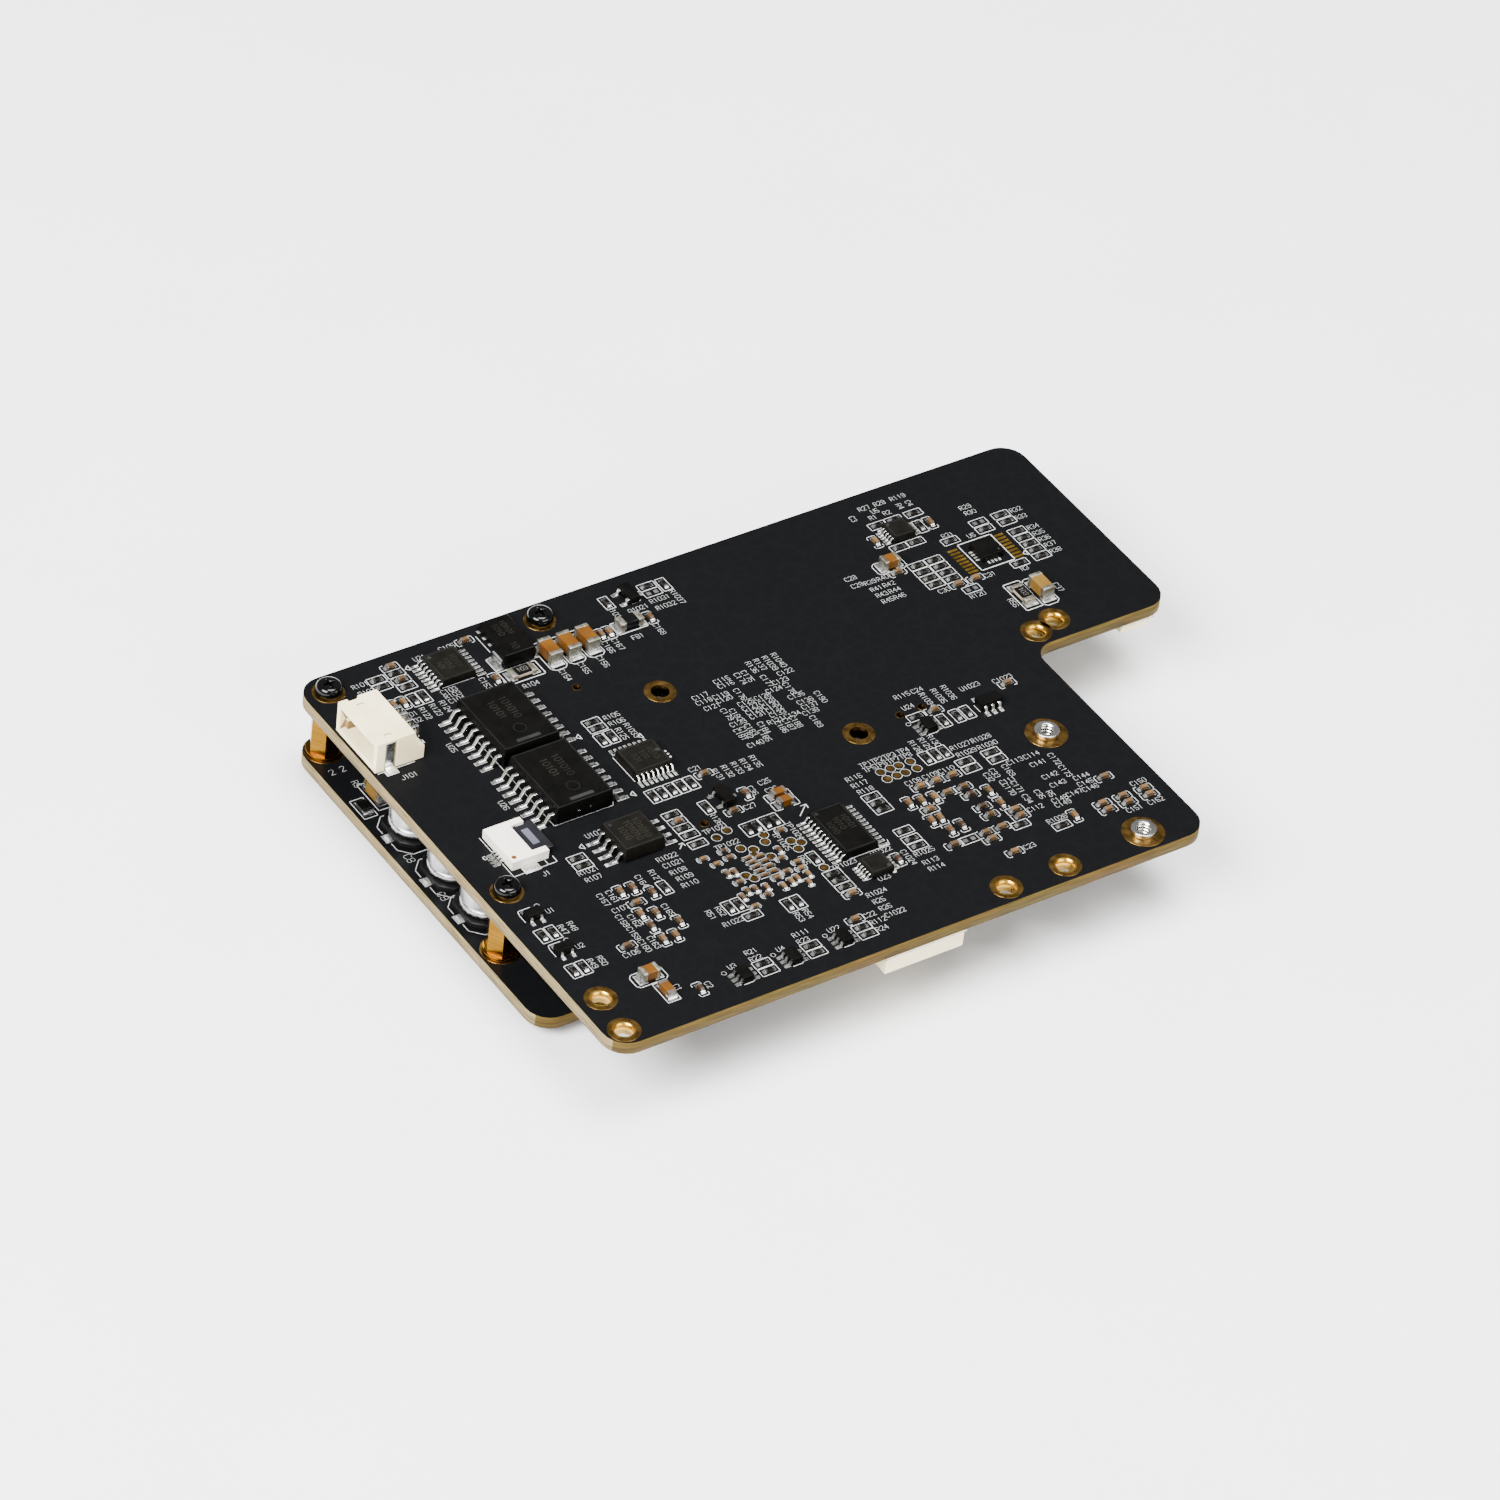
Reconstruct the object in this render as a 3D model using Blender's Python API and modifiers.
"""Flight controller board: two stacked circuit boards with their connectors, pillars and larger parts.

Metres, +Z up. +X runs along the long side of the main board and +Y to its rear edge. The origin is under
the middle of the main board, level with the lowest screw heads. The flip latch turns on its own origin.
"""

from math import cos, pi, radians, sin, sqrt, tau

import bmesh
import bpy
from mathutils import Matrix, Vector

# Lengths below are in millimetres. MM turns them into metres when a mesh is made.
MM = 0.001

# A solder film or a seating gap between two pieces that touch.
FILM = 0.05

# Boards, seen from above and measured from the front left corner of the main board.
BOARD_LENGTH = 100.0
BOARD_WIDTH = 68.5
BOARD_THICK = 1.6
NOTCH_LEFT = 80.0
NOTCH_REAR = 35.4
OUTER_CORNER = 3.0
INNER_CORNER = 2.5
POWER_LEFT, POWER_RIGHT = 0.3, 34.5
POWER_FRONT, POWER_REAR = 15.0, 68.3

# Heights of the stack, upwards from the lowest screw heads.
HEAD_HEIGHT = 1.3
POWER_BOTTOM = HEAD_HEIGHT + FILM
POWER_TOP = POWER_BOTTOM + BOARD_THICK
MAIN_BOTTOM = 10.0
MAIN_TOP = MAIN_BOTTOM + BOARD_THICK

# Pillars and screws.
PILLAR_SPOTS = {"rear_left": (3.0, 65.7), "rear_mid": (31.4, 65.7), "front_left": (3.0, 27.4)}
PILLAR_ACROSS_FLATS = 3.3
PILLAR_FLANGE_RADIUS = 2.2
PILLAR_FLANGE_HEIGHT = 0.4
PILLAR_BORE_RADIUS = 1.02
SCREW_HEAD_RADIUS = 1.6
SCREW_FLAT_RADIUS = 1.05
SCREW_SHANK_RADIUS = 0.95
SCREW_SHANK_LENGTH = 4.0
RECESS_REACH = 0.85
RECESS_HALF_WIDTH = 0.2
RECESS_DEPTH = 0.75

# Holes in the main board.
SCREW_HOLE_RADIUS = 1.15
PLATED_HOLES = ((2.86, 7.8), (2.4, 2.36), (53.3, 2.38), (61.4, 2.38), (82.26, 37.8), (85.45, 38.7))
INNER_HOLES = ((36.95, 48.6), (53.3, 32.0))
PLATED_HOLE_RADIUS = 1.15
INNER_HOLE_RADIUS = 1.1
TOOLING_HOLES = ((28.8, 53.6), (28.9, 26.95), (59.4, 32.55), (62.45, 32.65))
TOOLING_HOLE_RADIUS = 0.45

# Threaded spacers in the right part of the main board.
SPACER_SPOTS = {"rear": (72.7, 22.17), "front": (72.64, 2.96)}
SPACER_HOLE_RADIUS = 1.3
SPACER_RADIUS = 1.5
SPACER_SPIGOT_RADIUS = 1.22
SPACER_RISE = 0.65
THREAD_INNER_RADIUS = 0.8
THREAD_OUTER_RADIUS = 0.92
THREAD_PITCH = 0.45
THREAD_TURNS = 3

# Connector pair between the boards.
LINK_SPOT = (28.85, 40.3)
SOCKET_SIZE = (5.2, 29.0, 4.75)
SOCKET_SLOT = (2.7, 26.8, 3.0)
PLUG_SIZE = (5.0, 28.0, 2.1)
PLUG_RIB = (2.2, 26.2, 2.5)

# Side-entry wire header at the left edge: side view as (distance from the left edge, height).
HEADER_FRONT, HEADER_REAR = 51.05, 59.6
HEADER_MOUTH = 0.3
HEADER_TOP = 4.2
HEADER_SIDE_VIEW = ((0.3, FILM), (6.7, FILM), (6.7, 1.8), (5.8, 2.3), (5.35, HEADER_TOP), (0.3, HEADER_TOP))
HEADER_WALL = 0.65
HEADER_DEPTH = 4.1
HEADER_PIN_PITCH = 1.25
HEADER_PIN_WIDTH = 0.4
HEADER_PIN_LEVEL = 2.65
HEADER_TAB = (1.6, 2.7, 3.85)
HEADER_KEY_START, HEADER_KEY_HIGH, HEADER_KEY_DEPTH = 1.1, 1.9, 0.5
HEADER_DIMPLES = (52.2, 58.1)

# Flex cable connector and its flip latch.
FLEX_LEFT, FLEX_RIGHT = 5.3, 10.1
FLEX_FRONT, FLEX_REAR = 30.0, 36.3
FLEX_TOP = 1.25
FLEX_FLOOR = 0.22
FLEX_BLOCK_RIGHT = 8.35
FLEX_ARM = 0.85
HINGE_ALONG, HINGE_LEVEL = 8.95, 0.74
LATCH_BACK, LATCH_NECK, LATCH_LIP = 0.33, 1.37, 2.25
LATCH_LIP_EXTRA = 0.3
LATCH_THICK = 0.56
LATCH_SIDE_GAP = 0.1
TRUNNION_RADIUS = 0.15
TRUNNION_HOLE_RADIUS = 0.22
TRUNNION_LENGTH = 0.4

# Pale headers on the underside: left, right, front, rear and height.
UNDER_HEADERS = {
    "under_header_front": (35.75, 46.3, 0.1, 5.3, 2.35, 0.7, 6),
    "under_header_tab": (93.15, 97.3, 35.5, 40.5, 1.1, 0.45, 3),
}

# Can capacitors on the power board.
CAN_ALONG = 5.1
CAN_SPOTS = {"front": 33.9, "mid": 40.9, "rear": 49.2}
CAN_RADIUS = 3.15
CAN_HEIGHT = 4.7
CAN_BASE_SIDE = 6.6
CAN_BASE_HEIGHT = 0.9
CAN_BASE_CHAMFER = 1.3

# Gull-wing packages: middle, turn in degrees, body across and along the lead rows, height,
# leads on the left and right rows, pitch, span over the lead tips, lead width, thickness and foot.
GULL_PACKAGES = {
    "driver_soic_rear": ((17.45, 50.47), 0, (7.5, 10.3, 2.5), (8, 8), 1.27, 11.7, (0.42, 0.27, 0.95)),
    "driver_soic_front": ((17.45, 39.26), 0, (7.5, 10.3, 2.5), (8, 8), 1.27, 11.7, (0.42, 0.27, 0.95)),
    "memory_sop": ((19.8, 27.9), 0, (5.3, 5.3, 1.9), (4, 4), 1.27, 7.9, (0.42, 0.2, 0.65)),
    "logic_tssop_rear": ((17.15, 62.8), 0, (4.4, 5.0, 1.1), (8, 8), 0.65, 6.5, (0.25, 0.14, 0.55)),
    "logic_tssop_mid": ((28.4, 38.9), 90, (4.4, 5.0, 1.1), (8, 8), 0.65, 6.5, (0.25, 0.14, 0.55)),
    "bus_tssop": ((41.75, 18.25), 0, (4.4, 7.8, 1.1), (12, 12), 0.65, 6.5, (0.25, 0.14, 0.55)),
    "msop_mid": ((41.9, 11.7), 0, (3.0, 3.0, 0.95), (5, 5), 0.5, 4.6, (0.2, 0.14, 0.4)),
    "msop_tab": ((77.9, 60.1), 0, (3.0, 3.0, 0.95), (5, 5), 0.5, 4.6, (0.2, 0.14, 0.4)),
    "transistor_rear": ((42.9, 64.6), 0, (1.35, 2.9, 1.1), (2, 1), 1.9, 2.7, (0.42, 0.14, 0.35)),
    "regulator_right": ((69.5, 29.4), 90, (1.6, 2.9, 1.15), (3, 3), 0.95, 2.9, (0.38, 0.14, 0.35)),
}

# Packages with no bent leads: middle, body along X, along Y and height.
FLAT_PACKAGES = {
    "sensor_qfn": ((85.3, 52.5), (3.0, 3.0, 0.9)),
    "power_ic": ((26.0, 65.15), (4.0, 4.7, 0.9)),
}

# Packages on the underside of the main board: middle, side and height.
UNDER_PACKAGES = {
    "processor_bga": ((46.5, 41.0), 13.0, 1.25),
    "gate_array_bga": ((33.0, 19.0), 9.0, 1.05),
    "memory_bga": ((57.0, 16.0), 11.0, 1.05),
}

# Two-ended chips: middle, turn in degrees, length, width, height and end cap length.
CHIPS = {
    "cap_tall_1": ((28.95, 59.75), 90, 3.2, 1.65, 1.6, 0.55),
    "cap_tall_2": ((31.5, 59.75), 90, 3.2, 1.65, 1.6, 0.55),
    "cap_tall_3": ((34.05, 59.75), 90, 3.2, 1.65, 1.6, 0.55),
    "cap_tab": ((86.95, 43.65), 90, 3.2, 1.65, 1.6, 0.55),
    "cap_mid_tab": ((73.55, 55.6), 0, 2.2, 1.5, 1.3, 0.45),
    "cap_front_left": ((9.4, 8.3), 0, 2.2, 1.5, 1.3, 0.45),
    "ferrite_bead": ((40.2, 60.3), 0, 3.2, 1.6, 1.1, 0.75),
    "resistor_shunt": ((24.5, 58.6), 0, 3.2, 1.6, 0.6, 0.6),
    "resistor_tab": ((84.6, 43.9), 90, 3.2, 1.6, 0.6, 0.6),
}
CHIP_STEP = 0.03

# Moulded diode with folded end tabs.
DIODE_SPOT = (25.0, 61.2)
DIODE_BODY = (4.4, 2.6, 2.0)
DIODE_TAB = (0.22, 1.9, 1.25)


def clear_scene():
    for obj in list(bpy.data.objects):
        bpy.data.objects.remove(obj, do_unlink=True)


def new_collection(name):
    collection = bpy.data.collections.new(name)
    bpy.context.scene.collection.children.link(collection)
    return collection


def new_material(name, colour, roughness, metallic=0.0):
    material = bpy.data.materials.new(name)
    material.use_nodes = True
    shader = material.node_tree.nodes["Principled BSDF"]
    shader.inputs["Base Color"].default_value = (*colour, 1.0)
    shader.inputs["Roughness"].default_value = roughness
    shader.inputs["Metallic"].default_value = metallic
    material.diffuse_color = (*colour, 1.0)
    return material


def board_point(spot, height=0.0):
    """A point given from the front left corner of the main board, as a location in metres."""
    along, across = spot
    return Vector((along - BOARD_LENGTH / 2, across - BOARD_WIDTH / 2, height)) * MM


# Shape makers. Each adds one closed form to a bmesh, in millimetres.


def add_box(bm, low, high):
    low, high = Vector(low), Vector(high)
    size = high - low
    matrix = Matrix.Translation((low + high) / 2) @ Matrix.Diagonal((*size, 1.0))
    return bmesh.ops.create_cube(bm, size=1.0, matrix=matrix)["verts"]


def add_cylinder(bm, radius, low, high, spot=(0.0, 0.0), segments=24):
    matrix = Matrix.Translation((spot[0], spot[1], (low + high) / 2))
    bmesh.ops.create_cone(
        bm, cap_ends=True, segments=segments, radius1=radius, radius2=radius, depth=high - low, matrix=matrix
    )


def add_prism(bm, outline, move):
    """One flat outline, given as 3-D points, drawn out along a vector."""
    face = bm.faces.new([bm.verts.new(point) for point in outline])
    grown = bmesh.ops.extrude_face_region(bm, geom=[face])["geom"]
    moved = [item for item in grown if isinstance(item, bmesh.types.BMVert)]
    bmesh.ops.translate(bm, verts=moved, vec=move)
    return moved


def add_lathe(bm, profile, segments=24):
    """A profile of (radius, height) points turned about Z. An open end lies on the axis."""
    verts = [bm.verts.new((radius, 0.0, height)) for radius, height in profile]
    edges = [bm.edges.new(pair) for pair in zip(verts, verts[1:])]
    if profile[0][0] > 0.0:
        edges.append(bm.edges.new((verts[-1], verts[0])))
    bmesh.ops.spin(
        bm, geom=verts + edges, cent=(0, 0, 0), axis=(0, 0, 1), angle=tau, steps=segments, use_merge=True
    )
    bmesh.ops.remove_doubles(bm, verts=bm.verts, dist=1e-5)


def add_sections(bm, sections):
    """A bar along X through rectangular sections of (x, half width, bottom, top)."""
    start, half_width, bottom, top = sections[0]
    corners = ((-half_width, bottom), (half_width, bottom), (half_width, top), (-half_width, top))
    face = bm.faces.new([bm.verts.new((start, y, z)) for y, z in corners])
    for x, half_width, bottom, top in sections[1:]:
        grown = bmesh.ops.extrude_face_region(bm, geom=[face])["geom"]
        old_face = face
        face = next(item for item in grown if isinstance(item, bmesh.types.BMFace))
        if old_face.is_valid and x != sections[1][0]:
            bmesh.ops.delete(bm, geom=[old_face], context="FACES_ONLY")
        middle = sum((vert.co for vert in face.verts), Vector()) / 4
        for vert in face.verts:
            side = half_width if vert.co.y > middle.y else -half_width
            vert.co = (x, side, top if vert.co.z > middle.z else bottom)


def add_drafted_block(bm, size, low, high, draft):
    """A moulded block whose four sides lean in above and below its parting line."""
    length, width = size
    middle = (low + high) / 2
    verts = add_box(bm, (-length / 2, -width / 2, low), (length / 2, width / 2, high))
    faces = {face for vert in verts for face in vert.link_faces}
    edges = {edge for vert in verts for edge in vert.link_edges}
    bmesh.ops.bisect_plane(
        bm, geom=[*verts, *edges, *faces], plane_co=(0, 0, middle), plane_no=(0, 0, 1)
    )
    for vert in verts:
        vert.co.x -= draft if vert.co.x > 0 else -draft
        vert.co.y -= draft if vert.co.y > 0 else -draft


def rounded_outline(corners, steps=6):
    """Points of an outline of right-angled corners, each corner as (x, y, radius)."""
    points = []
    count = len(corners)
    for index, (x, y, radius) in enumerate(corners):
        corner = Vector((x, y))
        back = (Vector(corners[index - 1][:2]) - corner).normalized()
        ahead = (Vector(corners[(index + 1) % count][:2]) - corner).normalized()
        centre = corner + radius * (back + ahead)
        for step in range(steps + 1):
            angle = pi / 2 * step / steps
            points.append(centre - radius * (cos(angle) * ahead + sin(angle) * back))
    return points


# Objects.


def make_object(name, bm, material, location=(0, 0, 0), turn=0, collection=None):
    bmesh.ops.recalc_face_normals(bm, faces=bm.faces)
    bmesh.ops.scale(bm, vec=(MM, MM, MM), verts=bm.verts)
    mesh = bpy.data.meshes.new(name)
    bm.to_mesh(mesh)
    bm.free()
    if material is not None:
        mesh.materials.append(material)
    obj = bpy.data.objects.new(name, mesh)
    obj.location = location
    obj.rotation_euler.z = radians(turn)
    (collection or PARTS).objects.link(obj)
    return obj


def make_helper(name, bm, location=(0, 0, 0), turn=0):
    """A cutter or an added form, which is not a part itself."""
    helper = make_object(name, bm, None, location, turn, CUTTERS)
    helper.hide_render = True
    helper.display_type = "WIRE"
    return helper


def add_boolean(obj, helper, operation):
    modifier = obj.modifiers.new(helper.name, "BOOLEAN")
    modifier.operation = operation
    modifier.solver = "EXACT"
    modifier.object = helper


def add_bevel(obj, width, angle=50, segments=1):
    modifier = obj.modifiers.new("soft_edges", "BEVEL")
    modifier.width = width * MM
    modifier.segments = segments
    modifier.limit_method = "ANGLE"
    modifier.angle_limit = radians(angle)


# Boards.


def add_hole(bm, spot, radius, segments=24):
    x, y = spot[0] - BOARD_LENGTH / 2, spot[1] - BOARD_WIDTH / 2
    add_cylinder(bm, radius, -1.0, BOARD_THICK + 1.0, (x, y), segments)


def make_board(name, corners, bottom, holes, material):
    outline = [Vector((x - BOARD_LENGTH / 2, y - BOARD_WIDTH / 2, 0)) for x, y in rounded_outline(corners)]
    bm = bmesh.new()
    add_prism(bm, outline, (0, 0, BOARD_THICK))
    board = make_object(name, bm, material, (0, 0, bottom * MM))
    drills = bmesh.new()
    for spot, radius, segments in holes:
        add_hole(drills, spot, radius, segments)
    add_boolean(board, make_helper(name + "_drills", drills, (0, 0, bottom * MM)), "DIFFERENCE")
    return board


def make_main_board():
    corners = (
        (0.0, 0.0, OUTER_CORNER),
        (NOTCH_LEFT, 0.0, OUTER_CORNER),
        (NOTCH_LEFT, NOTCH_REAR, INNER_CORNER),
        (BOARD_LENGTH, NOTCH_REAR, OUTER_CORNER),
        (BOARD_LENGTH, BOARD_WIDTH, OUTER_CORNER),
        (0.0, BOARD_WIDTH, OUTER_CORNER),
    )
    holes = [(spot, SCREW_HOLE_RADIUS, 20) for spot in PILLAR_SPOTS.values()]
    holes += [(spot, PLATED_HOLE_RADIUS, 24) for spot in PLATED_HOLES]
    holes += [(spot, INNER_HOLE_RADIUS, 24) for spot in INNER_HOLES]
    holes += [(spot, TOOLING_HOLE_RADIUS, 12) for spot in TOOLING_HOLES]
    holes += [(spot, SPACER_HOLE_RADIUS, 20) for spot in SPACER_SPOTS.values()]
    make_board("main_board", corners, MAIN_BOTTOM, holes, MASK)


def make_power_board():
    corners = (
        (POWER_LEFT, POWER_FRONT, OUTER_CORNER),
        (POWER_RIGHT, POWER_FRONT, OUTER_CORNER),
        (POWER_RIGHT, POWER_REAR, OUTER_CORNER),
        (POWER_LEFT, POWER_REAR, OUTER_CORNER),
    )
    holes = [(spot, SCREW_HOLE_RADIUS, 20) for spot in PILLAR_SPOTS.values()]
    make_board("power_board", corners, POWER_BOTTOM, holes, MASK)


# Pillars, screws and spacers.


def make_pillar(name, spot):
    """A hex pillar with a round foot flange and one bore from end to end."""
    low, high = POWER_TOP + FILM, MAIN_BOTTOM - FILM
    radius = PILLAR_ACROSS_FLATS / sqrt(3)
    bm = bmesh.new()
    hexagon = [Vector((radius * cos(tau * i / 6), radius * sin(tau * i / 6), 0.1)) for i in range(6)]
    add_prism(bm, hexagon, (0, 0, high - low - 0.1))
    pillar = make_object(name, bm, BRASS, board_point(spot, low))
    flange = bmesh.new()
    add_cylinder(flange, PILLAR_FLANGE_RADIUS, 0.0, PILLAR_FLANGE_HEIGHT)
    add_boolean(pillar, make_helper(name + "_flange", flange, board_point(spot, low)), "UNION")
    bore = bmesh.new()
    add_cylinder(bore, PILLAR_BORE_RADIUS, -1.0, high - low + 1.0, segments=20)
    add_boolean(pillar, make_helper(name + "_bore", bore, board_point(spot, low)), "DIFFERENCE")


def screw_profile():
    """Head above zero, shank below it, from the shank's end to the top of the head."""
    points = [(0.0, -SCREW_SHANK_LENGTH), (SCREW_SHANK_RADIUS - 0.2, -SCREW_SHANK_LENGTH)]
    points += [(SCREW_SHANK_RADIUS, -SCREW_SHANK_LENGTH + 0.2), (SCREW_SHANK_RADIUS, 0.0)]
    points += [(SCREW_HEAD_RADIUS - 0.08, 0.0), (SCREW_HEAD_RADIUS, 0.08)]
    shoulder = 0.55
    for step in range(4):
        angle = pi / 2 * step / 3
        radius = SCREW_FLAT_RADIUS + (SCREW_HEAD_RADIUS - SCREW_FLAT_RADIUS) * cos(angle)
        points.append((radius, shoulder + (HEAD_HEIGHT - shoulder) * sin(angle)))
    points.append((0.0, HEAD_HEIGHT))
    return points


def recess_outline(reach, half, height):
    """A plus sign: one arm's two outer corners and its inner corner, turned four times."""
    arm = (Vector((reach, -half, 0)), Vector((reach, half, 0)), Vector((half, half, 0)))
    turns = [Matrix.Rotation(pi / 2 * quarter, 3, "Z") for quarter in range(4)]
    return [turn @ point + Vector((0, 0, height)) for turn in turns for point in arm]


def make_screw(name, spot, seat, upside_down=False):
    bm = bmesh.new()
    add_lathe(bm, screw_profile())
    recess = bmesh.new()
    outline = recess_outline(RECESS_REACH, RECESS_HALF_WIDTH, HEAD_HEIGHT + 0.2)
    tip = add_prism(recess, outline, (0, 0, -RECESS_DEPTH - 0.2))
    bmesh.ops.scale(recess, verts=tip, vec=(0.6, 0.75, 1.0))
    if upside_down:
        for form in (bm, recess):
            bmesh.ops.rotate(form, verts=form.verts, cent=(0, 0, 0), matrix=Matrix.Rotation(pi, 3, "X"))
    screw = make_object(name, bm, BLACK_STEEL, board_point(spot, seat))
    add_boolean(screw, make_helper(name + "_recess", recess, board_point(spot, seat)), "DIFFERENCE")


def make_pillars_and_screws():
    for place, spot in PILLAR_SPOTS.items():
        make_pillar("standoff_" + place, spot)
        make_screw("screw_top_" + place, spot, MAIN_TOP + FILM)
        make_screw("screw_bottom_" + place, spot, POWER_BOTTOM - FILM, upside_down=True)


def spacer_profile():
    """Closed section of a spacer: outside from the foot up, then down the ringed bore."""
    low, seat = MAIN_BOTTOM - MAIN_TOP + 0.1, FILM
    points = [(SPACER_SPIGOT_RADIUS, low), (SPACER_SPIGOT_RADIUS, seat), (SPACER_RADIUS, seat)]
    points += [(SPACER_RADIUS, SPACER_RISE - 0.06), (SPACER_RADIUS - 0.06, SPACER_RISE), (1.0, SPACER_RISE)]
    height = SPACER_RISE - 0.2
    points.append((THREAD_INNER_RADIUS, height))
    for turn in range(THREAD_TURNS):
        crest = height - THREAD_PITCH * turn
        points += [(THREAD_INNER_RADIUS, crest - 0.1), (THREAD_OUTER_RADIUS, crest - 0.2)]
        points += [(THREAD_OUTER_RADIUS, crest - 0.28), (THREAD_INNER_RADIUS, crest - 0.38)]
    points.append((THREAD_INNER_RADIUS, low))
    return points


def make_spacers():
    for place, spot in SPACER_SPOTS.items():
        bm = bmesh.new()
        add_lathe(bm, spacer_profile(), segments=16)
        make_object("spacer_" + place, bm, NICKEL, board_point(spot, MAIN_TOP))


# Connectors.


def make_link_pair():
    """The socket hangs from the main board, and the plug's rib stands in its slot."""
    width, length, height = SOCKET_SIZE
    top = MAIN_BOTTOM - FILM
    bm = bmesh.new()
    add_box(bm, (-width / 2, -length / 2, -height), (width / 2, length / 2, 0))
    socket = make_object("mezzanine_socket", bm, DARK_PLASTIC, board_point(LINK_SPOT, top))
    slot_width, slot_length, slot_depth = SOCKET_SLOT
    slot = bmesh.new()
    add_box(
        slot,
        (-slot_width / 2, -slot_length / 2, -height - 1),
        (slot_width / 2, slot_length / 2, slot_depth - height),
    )
    add_boolean(socket, make_helper("mezzanine_slot", slot, board_point(LINK_SPOT, top)), "DIFFERENCE")

    width, length, height = PLUG_SIZE
    rib_width, rib_length, rib_height = PLUG_RIB
    low = POWER_TOP + FILM
    bm = bmesh.new()
    add_box(bm, (-width / 2, -length / 2, 0), (width / 2, length / 2, height))
    plug = make_object("mezzanine_plug", bm, DARK_PLASTIC, board_point(LINK_SPOT, low))
    rib = bmesh.new()
    add_box(
        rib,
        (-rib_width / 2, -rib_length / 2, height - 0.5),
        (rib_width / 2, rib_length / 2, height + rib_height),
    )
    add_boolean(plug, make_helper("mezzanine_rib", rib, board_point(LINK_SPOT, low)), "UNION")


def header_pin_rows():
    middle = (HEADER_FRONT + HEADER_REAR) / 2
    return [middle + HEADER_PIN_PITCH * (index - 1.5) for index in range(4)]


def make_header_housing():
    origin = board_point((0, 0), MAIN_TOP)
    bm = bmesh.new()
    outline = [Vector((along, HEADER_FRONT, height)) for along, height in HEADER_SIDE_VIEW]
    add_prism(bm, outline, (0, HEADER_REAR - HEADER_FRONT, 0))
    housing = make_object("wire_header_housing", bm, IVORY_PLASTIC, origin)

    left, deep = HEADER_MOUTH - 1, HEADER_MOUTH + HEADER_DEPTH
    front, rear, ceiling = HEADER_FRONT + HEADER_WALL, HEADER_REAR - HEADER_WALL, HEADER_TOP - 0.6
    hollows = {
        "entry": ((left, front, 0.7), (HEADER_KEY_START, rear, ceiling)),
        "upper": ((left, front, HEADER_KEY_HIGH), (deep, rear, ceiling)),
        "lower": ((left, front + HEADER_KEY_DEPTH, 0.7), (deep, rear - HEADER_KEY_DEPTH, HEADER_KEY_HIGH + 0.2)),
    }
    for name, (low, high) in hollows.items():
        bm = bmesh.new()
        add_box(bm, low, high)
        add_boolean(housing, make_helper("wire_header_" + name, bm, origin), "DIFFERENCE")

    slots = bmesh.new()
    left, right, high = HEADER_TAB
    add_box(slots, (left - 0.12, HEADER_FRONT - 1, -0.5), (right + 0.3, HEADER_FRONT + 0.42, high + 0.08))
    add_box(slots, (left - 0.12, HEADER_REAR - 0.42, -0.5), (right + 0.12, HEADER_REAR + 1, HEADER_TOP + 1))
    for across in HEADER_DIMPLES:
        add_box(slots, (1.9, across - 0.18, HEADER_TOP - 0.15), (2.75, across + 0.18, HEADER_TOP + 1))
    for row in header_pin_rows():
        half = HEADER_PIN_WIDTH / 2 + 0.06
        add_box(
            slots,
            (HEADER_MOUTH + HEADER_DEPTH - 0.5, row - half, HEADER_PIN_LEVEL - half),
            (7.5, row + half, HEADER_PIN_LEVEL + half),
        )
    add_boolean(housing, make_helper("wire_header_slots", slots, origin), "DIFFERENCE")


def make_header_metal():
    origin = board_point((0, 0), MAIN_TOP)
    half = HEADER_PIN_WIDTH / 2
    high, low = HEADER_PIN_LEVEL + half, HEADER_PIN_LEVEL - half
    side = ((1.2, low), (6.85, low), (6.85, FILM), (7.85, FILM), (7.85, FILM + 0.3), (7.25, FILM + 0.3))
    side += ((7.25, high), (1.2, high))
    for index, row in enumerate(header_pin_rows(), start=1):
        bm = bmesh.new()
        outline = [Vector((along, row - half, height)) for along, height in side]
        add_prism(bm, outline, (0, HEADER_PIN_WIDTH, 0))
        make_object(f"wire_header_pin_{index}", bm, TIN, origin)
    left, right, high = HEADER_TAB
    for place, edge, way in (("front", HEADER_FRONT, 1), ("rear", HEADER_REAR, -1)):
        bm = bmesh.new()
        outer, inner = edge + 0.05 * way, edge + 0.3 * way
        side = ((outer - 0.8 * way, FILM), (inner, FILM), (inner, high), (outer, high))
        side += ((outer, FILM + 0.3), (outer - 0.8 * way, FILM + 0.2))
        outline = [Vector((left, across, height)) for across, height in side]
        add_prism(bm, outline, (right - left, 0, 0))
        make_object("wire_header_tab_" + place, bm, TIN, origin)


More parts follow.
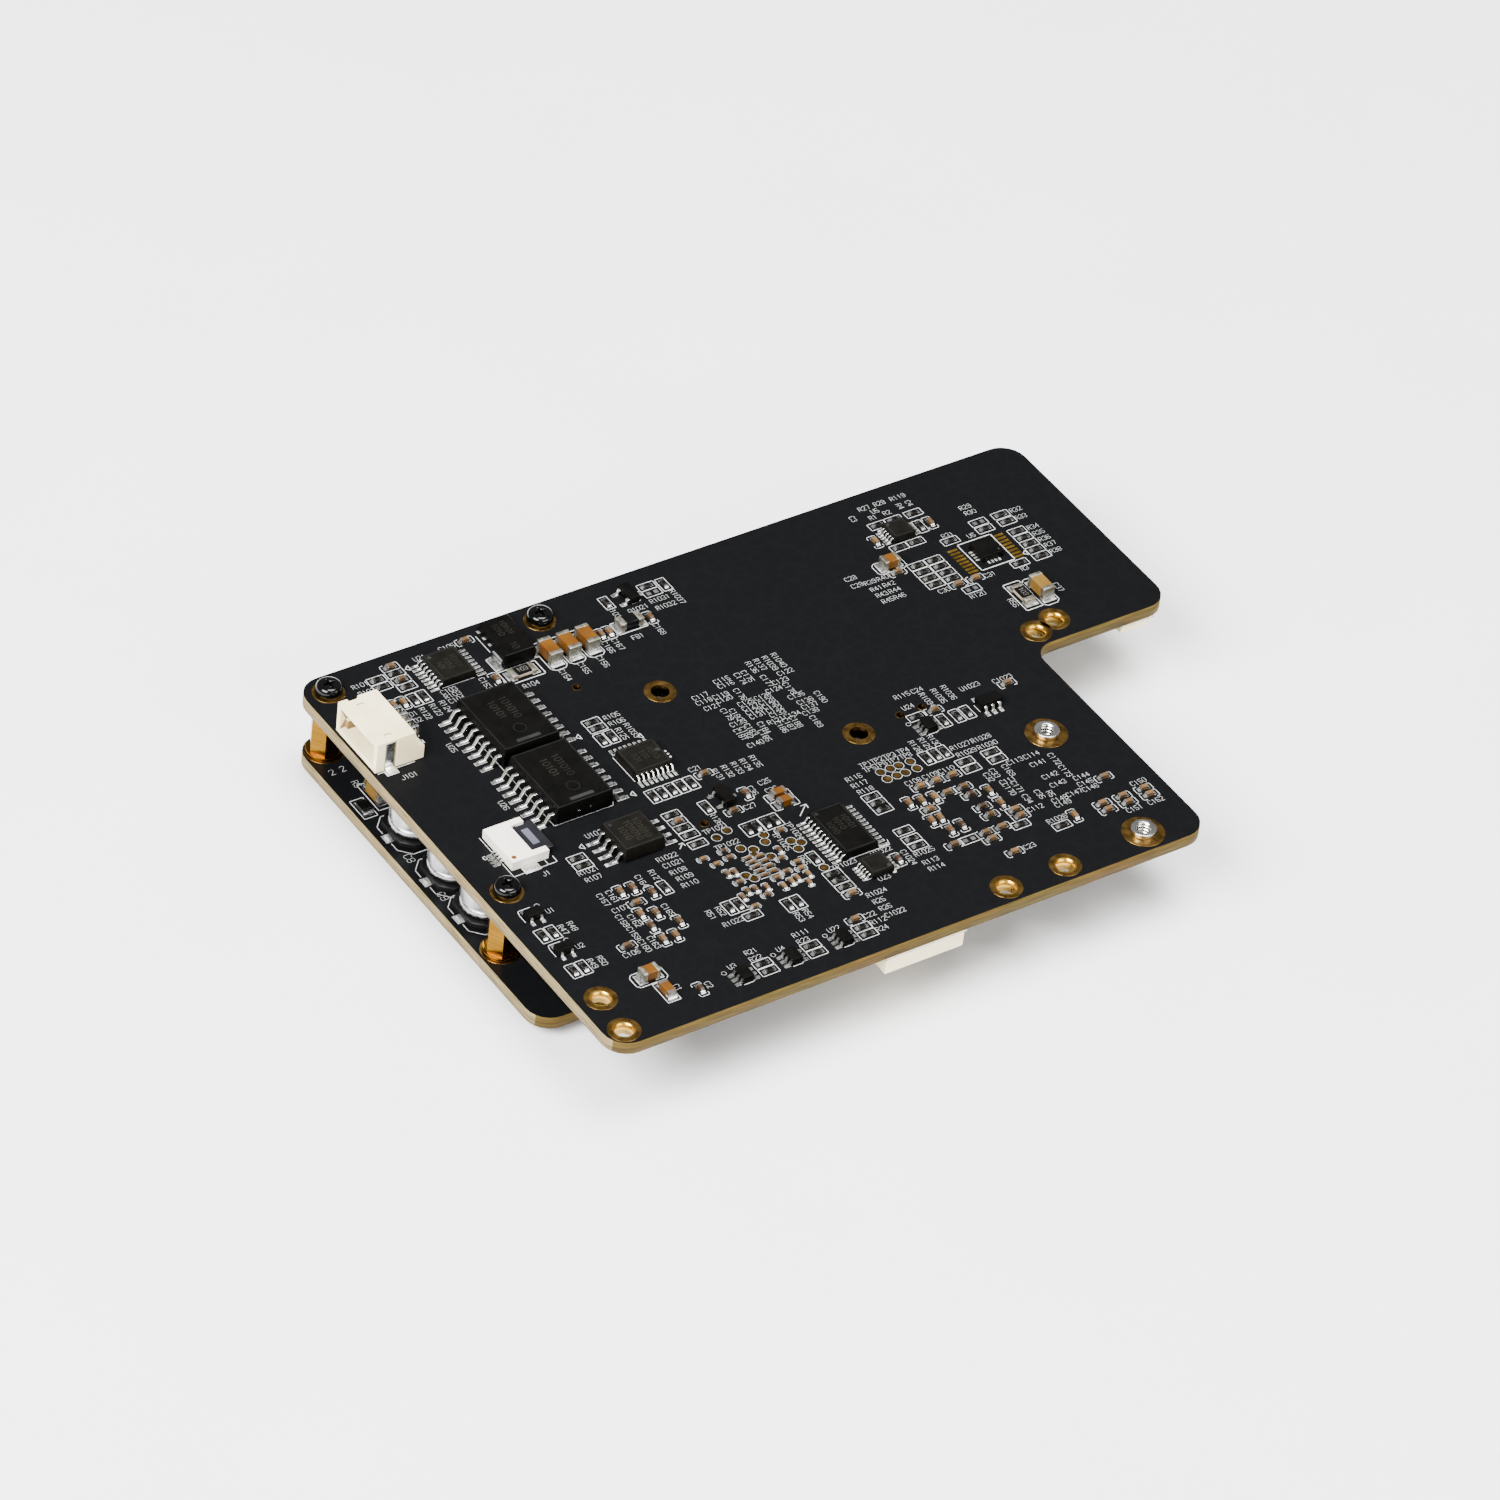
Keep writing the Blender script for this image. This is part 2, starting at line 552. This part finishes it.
def make_flex_connector():
    origin = board_point((0, 0), MAIN_TOP)
    bm = bmesh.new()
    add_box(bm, (FLEX_LEFT, FLEX_FRONT, FILM), (FLEX_RIGHT, FLEX_REAR, FLEX_TOP))
    housing = make_object("flex_housing", bm, WHITE_PLASTIC, origin)
    recess = bmesh.new()
    add_box(
        recess,
        (FLEX_BLOCK_RIGHT, FLEX_FRONT + FLEX_ARM, FLEX_FLOOR),
        (FLEX_RIGHT + 1, FLEX_REAR - FLEX_ARM, FLEX_TOP + 1),
    )
    add_boolean(housing, make_helper("flex_recess", recess, origin), "DIFFERENCE")
    hole_length = FLEX_REAR - FLEX_FRONT - 2 * FLEX_ARM + 2 * TRUNNION_LENGTH + 0.1
    pivot = bmesh.new()
    add_cylinder(pivot, TRUNNION_HOLE_RADIUS, -hole_length / 2, hole_length / 2, segments=16)
    bmesh.ops.rotate(pivot, verts=pivot.verts, cent=(0, 0, 0), matrix=Matrix.Rotation(pi / 2, 3, "X"))
    add_boolean(housing, make_helper("flex_pivot_holes", pivot, hinge_point()), "DIFFERENCE")

    tabs = {
        "flex_tab_front": ((6.7, FLEX_FRONT - 0.9, FILM), (8.3, FLEX_FRONT - 0.06, 0.3)),
        "flex_tab_rear": ((6.7, FLEX_REAR + 0.06, FILM), (8.3, FLEX_REAR + 0.9, 0.3)),
    }
    for name, (low, high) in tabs.items():
        bm = bmesh.new()
        add_box(bm, low, high)
        make_object(name, bm, TIN, origin)


def hinge_point():
    return board_point((HINGE_ALONG, (FLEX_FRONT + FLEX_REAR) / 2), MAIN_TOP + HINGE_LEVEL)


def make_flex_latch():
    """A plate that lies in the recess, wider past the arms, on two trunnions that turn in them."""
    half = (FLEX_REAR - FLEX_FRONT) / 2 - FLEX_ARM - LATCH_SIDE_GAP
    wide = half + LATCH_LIP_EXTRA
    outline = [(-LATCH_BACK, -half), (LATCH_NECK, -half), (LATCH_NECK, -wide), (LATCH_LIP, -wide)]
    outline += [(LATCH_LIP, wide), (LATCH_NECK, wide), (LATCH_NECK, half), (-LATCH_BACK, half)]
    bm = bmesh.new()
    add_prism(bm, [Vector((along, across, -LATCH_THICK / 2)) for along, across in outline], (0, 0, LATCH_THICK))
    latch = make_object("flex_latch", bm, GREY_PLASTIC, hinge_point())
    add_bevel(latch, 0.1)
    reach = half + LATCH_SIDE_GAP + TRUNNION_LENGTH
    axle = bmesh.new()
    add_cylinder(axle, TRUNNION_RADIUS, -reach, reach, segments=12)
    bmesh.ops.rotate(axle, verts=axle.verts, cent=(0, 0, 0), matrix=Matrix.Rotation(pi / 2, 3, "X"))
    add_boolean(latch, make_helper("flex_trunnions", axle, hinge_point()), "UNION")


def make_under_headers():
    """Shells that open downwards, with a row of posts inside."""
    for name, (left, right, front, rear, height, wall, posts) in UNDER_HEADERS.items():
        origin = board_point((0, 0), MAIN_BOTTOM - FILM)
        bm = bmesh.new()
        add_box(bm, (left, front, -height), (right, rear, 0))
        shell = make_object(name, bm, IVORY_PLASTIC, origin)
        mouth = bmesh.new()
        add_box(mouth, (left + wall, front + wall, -height - 1), (right - wall, rear - wall, -0.35 * height))
        add_boolean(shell, make_helper(name + "_mouth", mouth, origin), "DIFFERENCE")
        rods = bmesh.new()
        middle = (front + rear) / 2
        for index in range(posts):
            along = (left + right) / 2 + HEADER_PIN_PITCH * (index - (posts - 1) / 2)
            add_box(
                rods, (along - 0.2, middle - 0.2, -0.85 * height), (along + 0.2, middle + 0.2, -0.2 * height)
            )
        add_boolean(shell, make_helper(name + "_posts", rods, origin), "UNION")


# Capacitors in cans.


def can_profile():
    """From the middle of the foot, up the side past the crimp groove, to the middle of the top."""
    radius, groove, neck = CAN_RADIUS, CAN_RADIUS - 0.28, 0.75
    points = [(0.0, 0.0), (radius - 0.25, 0.0), (radius, 0.25), (radius, neck)]
    for step in range(1, 4):
        angle = pi * step / 4
        points.append((radius - (radius - groove) * sin(angle), neck + 0.6 * step / 4))
    points += [(radius, neck + 0.6), (radius, CAN_HEIGHT - 0.45)]
    for step in range(1, 4):
        angle = pi / 2 * step / 3
        points.append((radius - 0.45 + 0.45 * cos(angle), CAN_HEIGHT - 0.45 + 0.45 * sin(angle)))
    points += [(radius - 0.7, CAN_HEIGHT - 0.08), (0.0, CAN_HEIGHT - 0.08)]
    return points


def make_cans():
    half, cut = CAN_BASE_SIDE / 2, CAN_BASE_CHAMFER
    base_outline = ((-half, -half + cut), (-half + cut, -half), (half, -half), (half, half), (-half + cut, half))
    base_outline += ((-half, half - cut),)
    for place, across in CAN_SPOTS.items():
        low = POWER_TOP + FILM
        bm = bmesh.new()
        add_prism(bm, [Vector((x, y, 0)) for x, y in base_outline], (0, 0, CAN_BASE_HEIGHT))
        base = make_object("can_base_" + place, bm, DARK_PLASTIC, board_point((CAN_ALONG, across), low))
        add_bevel(base, 0.1)
        bm = bmesh.new()
        add_lathe(bm, can_profile())
        seat = low + CAN_BASE_HEIGHT + FILM
        make_object("can_" + place, bm, CAN_METAL, board_point((CAN_ALONG, across), seat))


# Packages and chips.


def gull_profile(reach, level, thick, foot):
    """Side view of one lead: x out from the package side, z up from the foot."""
    knee = reach - foot
    shoulder = 0.4 * knee
    low, high = level - thick / 2, level + thick / 2
    points = [(-0.35, low), (shoulder - 0.4 * thick, low), (knee - 0.5 * thick, 0.0), (reach, 0.0)]
    return points + [(reach, thick), (knee + 0.4 * thick, thick), (shoulder + 0.5 * thick, high), (-0.35, high)]


def make_gull_package(name, spot, turn, body, rows, pitch, span, lead):
    across, along, height = body
    lead_width, lead_thick, foot = lead
    low = 0.1
    seat = board_point(spot, MAIN_TOP + FILM)
    bm = bmesh.new()
    add_drafted_block(bm, (across, along), low, height, 0.05 * height)
    package = make_object(name, bm, EPOXY, seat, turn)
    profile = gull_profile((span - across) / 2, (low + height) / 2, lead_thick, foot)
    leads = bmesh.new()
    for way, count in zip((-1, 1), rows):
        for index in range(count):
            middle = pitch * (index - (count - 1) / 2)
            outline = [Vector((way * (across / 2 + x), middle - lead_width / 2, z)) for x, z in profile]
            add_prism(leads, outline, (0, lead_width, 0))
    add_boolean(package, make_helper(name + "_leads", leads, seat, turn), "UNION")


def make_flat_package(name, spot, size):
    length, width, height = size
    bm = bmesh.new()
    add_box(bm, (-length / 2, -width / 2, 0), (length / 2, width / 2, height))
    package = make_object(name, bm, EPOXY, board_point(spot, MAIN_TOP + FILM))
    add_bevel(package, 0.06)


def make_under_package(name, spot, side, height):
    """A carrier board with a smaller moulded cap, hung from the main board."""
    seat = board_point(spot, MAIN_BOTTOM - FILM)
    bm = bmesh.new()
    add_box(bm, (-side / 2, -side / 2, -0.45), (side / 2, side / 2, 0))
    package = make_object(name, bm, EPOXY, seat)
    cap = bmesh.new()
    half = side / 2 - 0.5
    add_box(cap, (-half, -half, -height), (half, half, -0.3))
    add_boolean(package, make_helper(name + "_cap", cap, seat), "UNION")


def make_chip(name, spot, turn, length, width, height, cap, material):
    half, inner = width / 2, width / 2 - CHIP_STEP
    low, high = 0.0, height
    core_low, core_high = CHIP_STEP, height - CHIP_STEP
    ends = (-length / 2, -length / 2 + cap, length / 2 - cap, length / 2)
    bm = bmesh.new()
    add_sections(
        bm,
        (
            (ends[0], half, low, high),
            (ends[1], half, low, high),
            (ends[1] + CHIP_STEP, inner, core_low, core_high),
            (ends[2] - CHIP_STEP, inner, core_low, core_high),
            (ends[2], half, low, high),
            (ends[3], half, low, high),
        ),
    )
    chip = make_object(name, bm, material, board_point(spot, MAIN_TOP + FILM), turn)
    add_bevel(chip, 0.07, angle=60)


def make_diode():
    length, width, height = DIODE_BODY
    thick, tab_width, tab_height = DIODE_TAB
    seat = board_point(DIODE_SPOT, MAIN_TOP + FILM)
    bm = bmesh.new()
    add_drafted_block(bm, (length, width), 0.12, height, 0.12)
    diode = make_object("power_diode", bm, EPOXY, seat)
    tabs = bmesh.new()
    for way in (-1, 1):
        reach = length / 2 + thick
        side = ((length / 2 - 1.0, 0.0), (reach, 0.0), (reach, tab_height), (length / 2 - 0.3, tab_height))
        side += ((length / 2 - 0.3, tab_height - thick), (reach - thick, tab_height - thick))
        side += ((reach - thick, thick), (length / 2 - 1.0, thick))
        outline = [Vector((way * x, -tab_width / 2, z)) for x, z in side]
        add_prism(tabs, outline, (0, tab_width, 0))
    add_boolean(diode, make_helper("power_diode_tabs", tabs, seat), "UNION")


def make_components():
    for name, values in GULL_PACKAGES.items():
        make_gull_package(name, *values)
    for name, (spot, size) in FLAT_PACKAGES.items():
        make_flat_package(name, spot, size)
    for name, values in UNDER_PACKAGES.items():
        make_under_package(name, *values)
    for name, values in CHIPS.items():
        make_chip(name, *values, CERAMIC if name.startswith("cap") else CHIP_BLACK)
    make_diode()


clear_scene()
PARTS = new_collection("flight_controller_board")
CUTTERS = new_collection("cutters")

MASK = new_material("black_solder_mask", (0.012, 0.013, 0.015), 0.38)
BRASS = new_material("brass", (0.80, 0.52, 0.17), 0.28, 1.0)
BLACK_STEEL = new_material("black_steel", (0.02, 0.02, 0.022), 0.3, 0.6)
NICKEL = new_material("nickel", (0.72, 0.70, 0.66), 0.28, 1.0)
TIN = new_material("tin", (0.74, 0.74, 0.73), 0.32, 1.0)
CAN_METAL = new_material("can_aluminium", (0.80, 0.80, 0.81), 0.3, 1.0)
IVORY_PLASTIC = new_material("ivory_plastic", (0.82, 0.78, 0.69), 0.5)
WHITE_PLASTIC = new_material("white_plastic", (0.85, 0.84, 0.81), 0.5)
GREY_PLASTIC = new_material("grey_plastic", (0.06, 0.06, 0.07), 0.45)
DARK_PLASTIC = new_material("dark_plastic", (0.02, 0.02, 0.02), 0.5)
EPOXY = new_material("epoxy", (0.025, 0.025, 0.027), 0.5)
CERAMIC = new_material("ceramic_tan", (0.55, 0.33, 0.13), 0.45)
CHIP_BLACK = new_material("chip_black", (0.03, 0.03, 0.03), 0.4)

make_main_board()
make_power_board()
make_pillars_and_screws()
make_spacers()
make_link_pair()
make_header_housing()
make_header_metal()
make_flex_connector()
make_flex_latch()
make_under_headers()
make_cans()
make_components()
